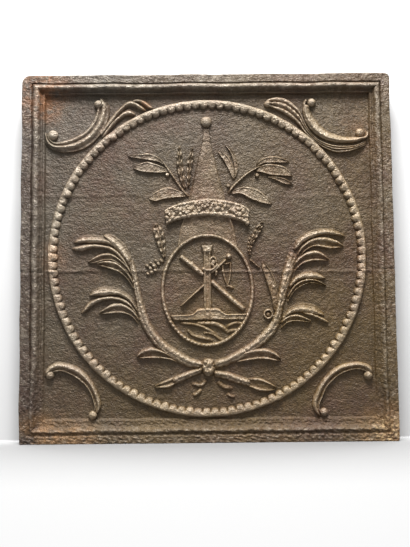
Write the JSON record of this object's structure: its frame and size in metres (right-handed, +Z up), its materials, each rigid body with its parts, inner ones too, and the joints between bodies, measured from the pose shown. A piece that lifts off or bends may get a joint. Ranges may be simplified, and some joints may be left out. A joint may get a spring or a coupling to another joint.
{
  "type": "fireback",
  "caption": "Square cast-iron plate with a moulded frame and low-relief ornament, stood against the back wall of a hearth to shield it and throw heat forward.",
  "frame": {"origin": "under the middle of the plate, on the surface that it stands on, at the middle of its thickness", "axes": "+Z up, +X to the right seen from the front, the ornamented face looks towards -Y and the plain back towards +Y"},
  "size_m": [0.6, 0.028, 0.594],
  "materials": {
    "cast_iron_ground": "grainy sand-cast grey-brown iron with a dry patina and traces of rust",
    "cast_iron_relief": "the same iron brushed and worn brighter on the raised carvings"
  },
  "bodies": {
    "root": {"back_plate": "cast_iron_ground", "frame_top": "cast_iron_ground", "frame_right": "cast_iron_ground", "frame_bottom": "cast_iron_ground", "frame_left": "cast_iron_ground", "pearl_ring": "cast_iron_relief", "scroll_top_left": "cast_iron_relief", "acanthus_top_left": "cast_iron_relief", "scroll_top_right": "cast_iron_relief", "acanthus_top_right": "cast_iron_relief", "scroll_bottom_left": "cast_iron_relief", "scroll_bottom_right": "cast_iron_relief", "obelisk": "cast_iron_relief", "medallion_ring": "cast_iron_relief", "rose_chaplet": "cast_iron_relief", "finial_ball": "cast_iron_relief", "emblem_post": "cast_iron_relief", "emblem_ground": "cast_iron_relief", "post_cord": "cast_iron_relief", "staff_head": "cast_iron_relief", "staff_foot": "cast_iron_relief", "sword_blade": "cast_iron_relief", "sword_hilt": "cast_iron_relief", "pennant": "cast_iron_relief", "branch_knot": "cast_iron_relief", "left_branch_stem": "cast_iron_relief", "right_branch_stem": "cast_iron_relief", "left_cut_end": "cast_iron_relief", "right_cut_end": "cast_iron_relief", "left_ribbon_end": "cast_iron_relief", "right_ribbon_end": "cast_iron_relief", "left_frond_1": "cast_iron_relief", "left_frond_2": "cast_iron_relief", "left_frond_3": "cast_iron_relief", "left_frond_4": "cast_iron_relief", "left_frond_5": "cast_iron_relief", "left_frond_6": "cast_iron_relief", "left_frond_7": "cast_iron_relief", "right_frond_1": "cast_iron_relief", "right_frond_2": "cast_iron_relief", "right_frond_3": "cast_iron_relief", "right_frond_4": "cast_iron_relief", "right_frond_5": "cast_iron_relief", "right_frond_6": "cast_iron_relief", "right_frond_7": "cast_iron_relief", "right_frond_8": "cast_iron_relief", "right_frond_9": "cast_iron_relief", "right_frond_10": "cast_iron_relief", "right_branch_berry": "cast_iron_relief", "upper_left_sprig": "cast_iron_relief", "upper_right_sprig": "cast_iron_relief", "left_ear": "cast_iron_relief", "right_ear": "cast_iron_relief"}
  },
  "joints": []
}
